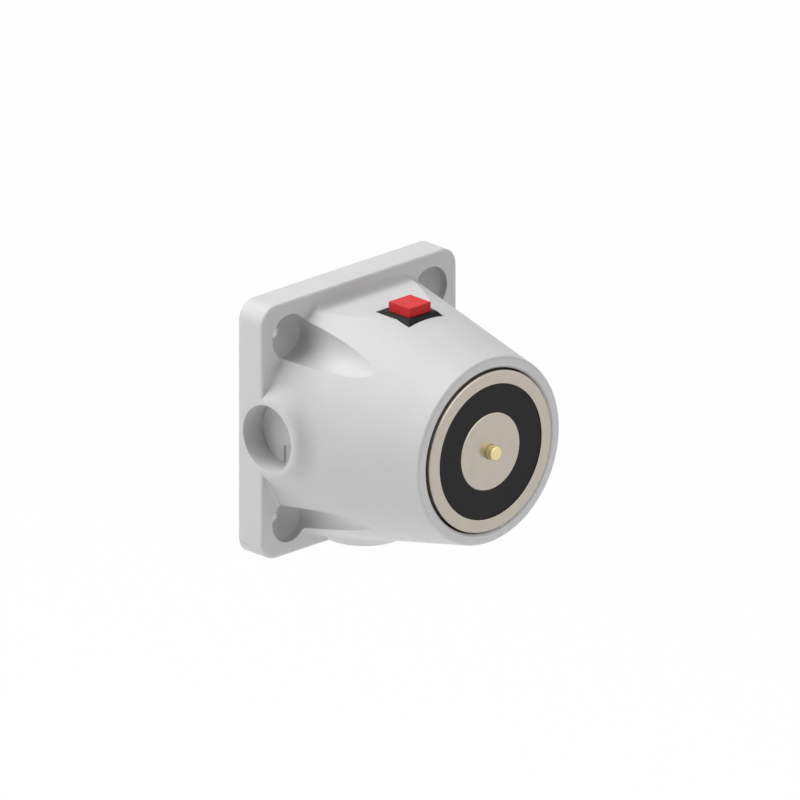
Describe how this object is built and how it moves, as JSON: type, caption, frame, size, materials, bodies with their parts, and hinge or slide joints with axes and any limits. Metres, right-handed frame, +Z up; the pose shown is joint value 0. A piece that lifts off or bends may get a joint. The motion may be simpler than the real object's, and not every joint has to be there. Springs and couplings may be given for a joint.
{
  "type": "electromagnetic door holder",
  "caption": "Wall-mounted electromagnetic door holder: square flanged moulded housing, round steel holding magnet with a sprung ejector pin, red release button on top.",
  "frame": {"origin": "centre of the square flange's back face, in the wall's plane", "axes": "+Z up with the release button on top; +Y into the wall; the magnet faces -Y; +X to the right seen from the front"},
  "size_m": [0.08, 0.0686, 0.08],
  "materials": {
    "housing_plastic": "fine moulded grain",
    "pole_steel": "ground and nickel plated",
    "white_plastic": "moulded",
    "copper_wire": "enamelled copper wire",
    "black_resin": "cast resin, satin",
    "brass": "turned",
    "spring_steel": "drawn wire",
    "zinc_steel": "zinc plated",
    "black_plastic": "moulded, satin",
    "tinned_brass": "tinned",
    "red_plastic": "moulded",
    "board_laminate": "solder resist",
    "terminal_plastic": "moulded",
    "diode_body": "moulded",
    "black_insulation": "extruded insulation",
    "red_insulation": "extruded insulation"
  },
  "bodies": {
    "holder": {"housing": "housing_plastic", "magnet_pot": "pole_steel", "magnet_core": "pole_steel", "coil_bobbin": "white_plastic", "coil_winding": "copper_wire", "potting_ring": "black_resin", "ejector_spring": "spring_steel", "spring_plug": "brass", "magnet_screw_left": "zinc_steel", "magnet_washer_left": "zinc_steel", "magnet_screw_right": "zinc_steel", "magnet_washer_right": "zinc_steel", "switch_body": "black_plastic", "switch_base": "black_plastic", "switch_terminal_left": "tinned_brass", "switch_terminal_right": "tinned_brass", "button_spring": "spring_steel", "circuit_board": "board_laminate", "board_screw_left": "zinc_steel", "board_screw_right": "zinc_steel", "terminal_block": "terminal_plastic", "terminal_clamp_left": "tinned_brass", "terminal_screw_left": "zinc_steel", "terminal_clamp_right": "tinned_brass", "terminal_screw_right": "zinc_steel", "suppression_diode": "diode_body", "coil_lead_left": "black_insulation", "coil_lead_right": "black_insulation", "switch_lead_left": "red_insulation", "switch_lead_right": "red_insulation"},
    "button": {"button_cap": "red_plastic"},
    "pin": {"ejector_pin": "brass"}
  },
  "joints": [
    {"name": "button_press", "type": "slide", "parent": "holder", "child": "button", "axis": [0, 0, -1], "range_m": [0, 0.0016], "stiffness_N_per_m": 400, "springref_m": -0.002, "deforming": ["button_spring"]},
    {"name": "pin_press", "type": "slide", "parent": "holder", "child": "pin", "axis": [0, 1, 0], "range_m": [0, 0.0026], "stiffness_N_per_m": 800, "springref_m": -0.003, "deforming": ["ejector_spring"]}
  ]
}
